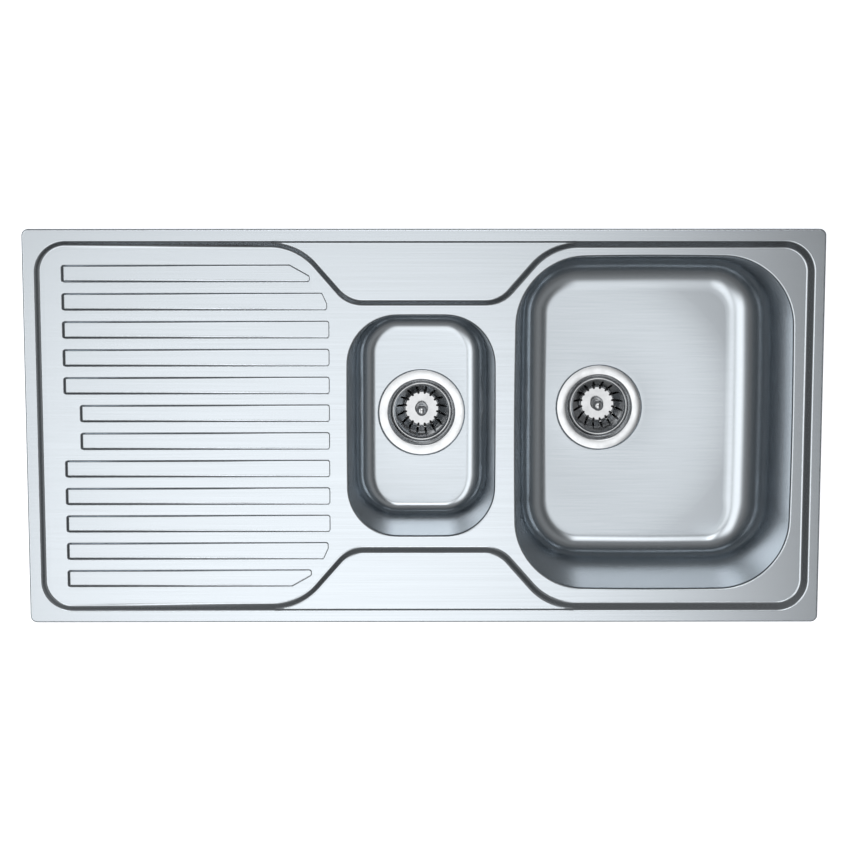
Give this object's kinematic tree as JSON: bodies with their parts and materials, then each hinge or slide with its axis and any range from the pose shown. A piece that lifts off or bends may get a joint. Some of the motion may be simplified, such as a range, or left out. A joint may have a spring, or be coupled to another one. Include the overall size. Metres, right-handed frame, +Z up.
{
  "type": "kitchen sink with drainboard",
  "caption": "Stainless inset kitchen sink with a grooved drainer, a half bowl and a main bowl, basket strainer wastes and swinging fixing clips.",
  "frame": {"origin": "middle of the sink on the plane of the worktop's top face, which the rim seal's underside touches", "axes": "+X along the sink from the drainer to the main bowl, +Y from the user to the wall, +Z up out of the bowls"},
  "size_m": [1, 0.5, 0.2821],
  "materials": {
    "stainless_steel": "fine satin brushing, paler on the drainer",
    "polished_steel": "polished stainless pressings",
    "zinc_plated_steel": "dull zinc plating",
    "rubber": "matt black rubber",
    "seal_foam": "closed-cell foam strip",
    "white_plastic": "moulded white polypropylene"
  },
  "bodies": {
    "sink": {"deck": "stainless_steel", "main_bowl": "stainless_steel", "half_bowl": "stainless_steel", "main_bowl_deadening_pad": "rubber", "rim_seal": "seal_foam", "rail_back_drainer": "zinc_plated_steel", "rail_back_bowl": "zinc_plated_steel", "rail_front_drainer": "zinc_plated_steel", "rail_front_bowl": "zinc_plated_steel", "rail_left": "zinc_plated_steel", "rail_right": "zinc_plated_steel", "main_waste_flange_cup": "polished_steel", "main_waste_top_gasket": "rubber", "main_waste_under_gasket": "rubber", "main_waste_body": "white_plastic", "main_waste_screw": "zinc_plated_steel", "half_waste_flange_cup": "polished_steel", "half_waste_top_gasket": "rubber", "half_waste_under_gasket": "rubber", "half_waste_body": "white_plastic", "half_waste_screw": "zinc_plated_steel", "clip_back_drainer_bracket": "zinc_plated_steel", "clip_back_bowl_bracket": "zinc_plated_steel", "clip_front_drainer_bracket": "zinc_plated_steel", "clip_front_bowl_bracket": "zinc_plated_steel", "clip_left_1_bracket": "zinc_plated_steel", "clip_left_2_bracket": "zinc_plated_steel", "clip_right_1_bracket": "zinc_plated_steel", "clip_right_2_bracket": "zinc_plated_steel"},
    "main_basket": {"main_basket": "polished_steel", "main_basket_knob": "polished_steel", "main_basket_stopper": "rubber"},
    "half_basket": {"half_basket": "polished_steel", "half_basket_knob": "polished_steel", "half_basket_stopper": "rubber"},
    "clip_back_drainer_screw": {"clip_back_drainer_screw": "zinc_plated_steel"},
    "clip_back_drainer_claw": {"clip_back_drainer_claw": "zinc_plated_steel"},
    "clip_back_bowl_screw": {"clip_back_bowl_screw": "zinc_plated_steel"},
    "clip_back_bowl_claw": {"clip_back_bowl_claw": "zinc_plated_steel"},
    "clip_front_drainer_screw": {"clip_front_drainer_screw": "zinc_plated_steel"},
    "clip_front_drainer_claw": {"clip_front_drainer_claw": "zinc_plated_steel"},
    "clip_front_bowl_screw": {"clip_front_bowl_screw": "zinc_plated_steel"},
    "clip_front_bowl_claw": {"clip_front_bowl_claw": "zinc_plated_steel"},
    "clip_left_1_screw": {"clip_left_1_screw": "zinc_plated_steel"},
    "clip_left_1_claw": {"clip_left_1_claw": "zinc_plated_steel"},
    "clip_left_2_screw": {"clip_left_2_screw": "zinc_plated_steel"},
    "clip_left_2_claw": {"clip_left_2_claw": "zinc_plated_steel"},
    "clip_right_1_screw": {"clip_right_1_screw": "zinc_plated_steel"},
    "clip_right_1_claw": {"clip_right_1_claw": "zinc_plated_steel"},
    "clip_right_2_screw": {"clip_right_2_screw": "zinc_plated_steel"},
    "clip_right_2_claw": {"clip_right_2_claw": "zinc_plated_steel"}
  },
  "joints": [
    {"name": "main_basket_lift", "type": "slide", "parent": "sink", "child": "main_basket", "axis": [0, 0, 1], "range_m": [0, 0.23]},
    {"name": "half_basket_lift", "type": "slide", "parent": "sink", "child": "half_basket", "axis": [0, 0, 1], "range_m": [0, 0.19]},
    {"name": "clip_back_drainer_draw", "type": "slide", "parent": "sink", "child": "clip_back_drainer_screw", "axis": [0, 0, 1], "range_m": [0, 0.014]},
    {"name": "clip_back_drainer_swing", "type": "hinge", "parent": "clip_back_drainer_screw", "child": "clip_back_drainer_claw", "pos_m": [-0.31, 0.233, -0.04], "axis": [0, 0, 1], "range_deg": [0, 90]},
    {"name": "clip_back_bowl_draw", "type": "slide", "parent": "sink", "child": "clip_back_bowl_screw", "axis": [0, 0, 1], "range_m": [0, 0.014]},
    {"name": "clip_back_bowl_swing", "type": "hinge", "parent": "clip_back_bowl_screw", "child": "clip_back_bowl_claw", "pos_m": [0.312, 0.233, -0.04], "axis": [0, 0, 1], "range_deg": [0, 90]},
    {"name": "clip_front_drainer_draw", "type": "slide", "parent": "sink", "child": "clip_front_drainer_screw", "axis": [0, 0, 1], "range_m": [0, 0.014]},
    {"name": "clip_front_drainer_swing", "type": "hinge", "parent": "clip_front_drainer_screw", "child": "clip_front_drainer_claw", "pos_m": [-0.31, -0.233, -0.04], "axis": [0, 0, 1], "range_deg": [0, 90]},
    {"name": "clip_front_bowl_draw", "type": "slide", "parent": "sink", "child": "clip_front_bowl_screw", "axis": [0, 0, 1], "range_m": [0, 0.014]},
    {"name": "clip_front_bowl_swing", "type": "hinge", "parent": "clip_front_bowl_screw", "child": "clip_front_bowl_claw", "pos_m": [0.312, -0.233, -0.04], "axis": [0, 0, 1], "range_deg": [0, 90]},
    {"name": "clip_left_1_draw", "type": "slide", "parent": "sink", "child": "clip_left_1_screw", "axis": [0, 0, 1], "range_m": [0, 0.014]},
    {"name": "clip_left_1_swing", "type": "hinge", "parent": "clip_left_1_screw", "child": "clip_left_1_claw", "pos_m": [-0.483, -0.11, -0.04], "axis": [0, 0, 1], "range_deg": [0, 90]},
    {"name": "clip_left_2_draw", "type": "slide", "parent": "sink", "child": "clip_left_2_screw", "axis": [0, 0, 1], "range_m": [0, 0.014]},
    {"name": "clip_left_2_swing", "type": "hinge", "parent": "clip_left_2_screw", "child": "clip_left_2_claw", "pos_m": [-0.483, 0.11, -0.04], "axis": [0, 0, 1], "range_deg": [0, 90]},
    {"name": "clip_right_1_draw", "type": "slide", "parent": "sink", "child": "clip_right_1_screw", "axis": [0, 0, 1], "range_m": [0, 0.014]},
    {"name": "clip_right_1_swing", "type": "hinge", "parent": "clip_right_1_screw", "child": "clip_right_1_claw", "pos_m": [0.485, 0.11, -0.04], "axis": [0, 0, 1], "range_deg": [0, 90]},
    {"name": "clip_right_2_draw", "type": "slide", "parent": "sink", "child": "clip_right_2_screw", "axis": [0, 0, 1], "range_m": [0, 0.014]},
    {"name": "clip_right_2_swing", "type": "hinge", "parent": "clip_right_2_screw", "child": "clip_right_2_claw", "pos_m": [0.485, -0.11, -0.04], "axis": [0, 0, 1], "range_deg": [0, 90]}
  ]
}
